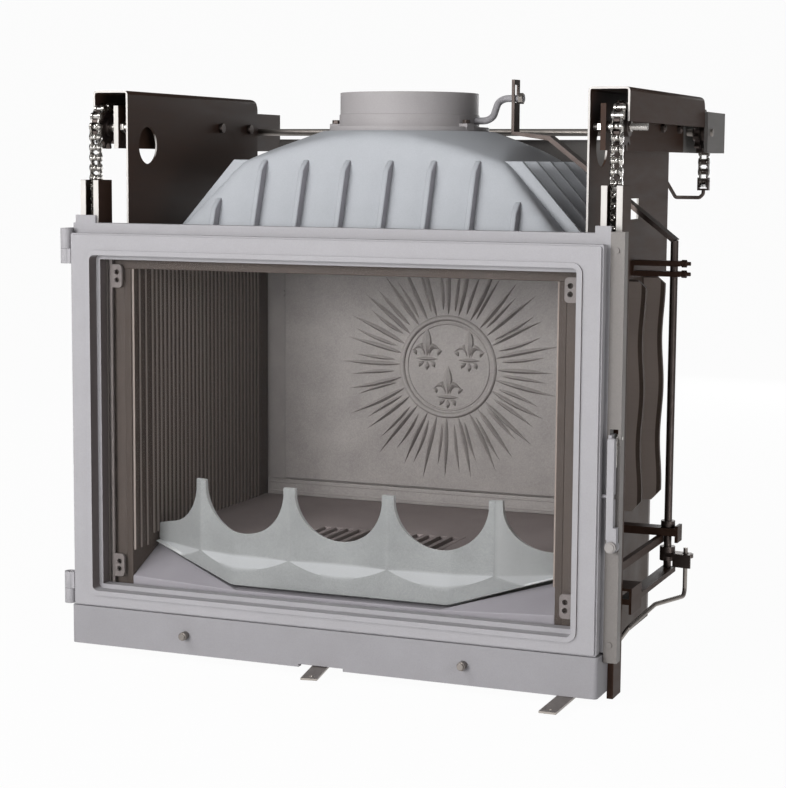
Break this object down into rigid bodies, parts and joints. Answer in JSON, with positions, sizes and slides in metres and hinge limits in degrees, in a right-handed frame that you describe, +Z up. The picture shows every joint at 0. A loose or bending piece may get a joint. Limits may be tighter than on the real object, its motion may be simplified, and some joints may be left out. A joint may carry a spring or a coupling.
{
  "type": "fireplace insert",
  "caption": "Cast iron fireplace insert with a glazed door that lifts on roller chains and a counterweight, a scalloped log guard, a ribbed smoke hood and a flue damper.",
  "frame": {"origin": "on the hearth, straight under the axis of the flue collar", "axes": "+Z up along the flue, +X along the width to the right of someone facing the door, -Y towards the door"},
  "size_m": [0.9217, 0.7689, 0.8945],
  "materials": {
    "cast_grey": "matt painted casting",
    "cast_pale": "matt painted casting, pale",
    "cast_green": "matt painted casting",
    "cast_dark": "matt dark casting",
    "fire_grey": "matt casting",
    "sheet_dark": "matt dark paint",
    "steel_dark": "dark oiled steel",
    "steel_bright": "bare steel",
    "shoe": "plain brass",
    "rope": "glass fibre rope",
    "ceramic_glass": "clear ceramic glass"
  },
  "bodies": {
    "firebox": {"base_pan": "sheet_dark", "plinth": "cast_grey", "plinth_studs": "steel_bright", "front_sill": "cast_pale", "hearth_floor": "cast_dark", "grate": "steel_dark", "ash_pan": "steel_dark", "log_guard": "cast_green", "front_frame": "cast_dark", "side_wall_left": "cast_dark", "side_wall_right": "cast_dark", "back_wall": "cast_dark", "fireback": "fire_grey", "fireback_bolts": "fire_grey", "hood": "cast_pale", "hood_bolts": "steel_dark", "flue_collar": "cast_grey", "collar_bolts": "steel_dark", "channel_left": "sheet_dark", "channel_right": "sheet_dark", "bracket_left": "sheet_dark", "bracket_right": "sheet_dark", "yoke_left": "sheet_dark", "yoke_right": "sheet_dark", "yoke_bolts": "steel_bright", "front_axles": "steel_bright", "rod_guides": "sheet_dark", "guide_stay": "sheet_dark", "chain_front_runs": "steel_bright", "chain_top_runs": "steel_bright", "chain_rear_runs": "steel_bright"},
    "air_lever": {"air_lever": "steel_bright"},
    "damper": {"damper_disc": "cast_dark", "damper_spindle": "cast_grey", "crank_nut": "steel_bright"},
    "damper_strap": {"damper_strap": "steel_dark"},
    "damper_pull": {"damper_pull": "steel_bright"},
    "front_sprocket_left": {"sprocket_front_left": "steel_dark"},
    "front_sprocket_right": {"sprocket_front_right": "steel_dark"},
    "rear_shaft": {"rear_shaft": "steel_bright", "rear_sprockets": "steel_dark"},
    "counterweight": {"counterweight": "sheet_dark", "counterweight_hooks": "steel_dark"},
    "carriage": {"carriage_frame": "cast_grey", "latch_post": "cast_grey", "post_screws": "steel_bright", "hinge_lugs": "cast_grey", "hinge_pins": "steel_bright", "guide_shoes": "shoe", "chain_anchors": "steel_dark", "latch_pin": "steel_bright", "latch_spring": "steel_bright"},
    "door": {"door_frame": "cast_grey", "door_glass": "ceramic_glass", "glass_gasket": "rope", "door_seal": "rope", "glass_clips": "cast_dark", "clip_screws": "steel_bright"},
    "latch": {"latch_lever": "cast_grey", "latch_knob": "steel_bright"}
  },
  "joints": [
    {"name": "door_lift", "type": "slide", "parent": "firebox", "child": "carriage", "axis": [0, 0, 1], "range_m": [0, 0.44], "deforming": ["chain_front_runs", "chain_top_runs"]},
    {"name": "counterweight_travel", "type": "slide", "parent": "firebox", "child": "counterweight", "axis": [0, 0, -1], "range_m": [0, 0.442], "deforming": ["chain_rear_runs"]},
    {"name": "front_sprocket_left_spin", "type": "hinge", "parent": "firebox", "child": "front_sprocket_left", "pos_m": [-0.4186, -0.23933, 0.815], "axis": [-1, 0, 0], "range_deg": [0, 830]},
    {"name": "front_sprocket_right_spin", "type": "hinge", "parent": "firebox", "child": "front_sprocket_right", "pos_m": [0.4186, -0.23933, 0.815], "axis": [-1, 0, 0], "range_deg": [0, 830]},
    {"name": "rear_shaft_spin", "type": "hinge", "parent": "firebox", "child": "rear_shaft", "pos_m": [0, 0.23692, 0.815], "axis": [-1, 0, 0], "range_deg": [0, 830]},
    {"name": "door_hinge", "type": "hinge", "parent": "carriage", "child": "door", "pos_m": [-0.433, -0.337, 0.3625], "axis": [0, 0, -1], "range_deg": [0, 100]},
    {"name": "latch_swing", "type": "hinge", "parent": "carriage", "child": "latch", "pos_m": [0.437, -0.312, 0.3815], "axis": [-1, 0, 0], "range_deg": [0, 25], "stiffness_Nm_per_rad": 0.5},
    {"name": "air_control", "type": "hinge", "parent": "firebox", "child": "air_lever", "pos_m": [-0.028, -0.205, 0.014], "axis": [0, 0, 1], "range_deg": [-7, 8.5]},
    {"name": "damper_control", "type": "hinge", "parent": "firebox", "child": "damper_strap", "pos_m": [0.438, 0, 0.4], "axis": [0, 0, 1], "range_deg": [0, 15.02]},
    {"name": "damper_turn", "type": "hinge", "parent": "firebox", "child": "damper", "pos_m": [0, 0, 0.829], "axis": [1, 0, 0], "range_deg": [-0.5, 90.5]},
    {"name": "damper_push", "type": "slide", "parent": "firebox", "child": "damper_pull", "axis": [0, 1, 0], "range_m": [-0.0005, 0.00834]}
  ],
  "couplings": [
    {"joint": "counterweight_travel", "follows": "door_lift", "ratio": 1},
    {"joint": "front_sprocket_left_spin", "follows": "door_lift", "rad_per_m": 32.607},
    {"joint": "front_sprocket_right_spin", "follows": "door_lift", "rad_per_m": 32.607},
    {"joint": "rear_shaft_spin", "follows": "door_lift", "rad_per_m": 32.607},
    {"joint": "damper_turn", "follows": "damper_control", "ratio": 5.9938},
    {"joint": "damper_push", "follows": "damper_control", "m_per_rad": 0.029914}
  ]
}
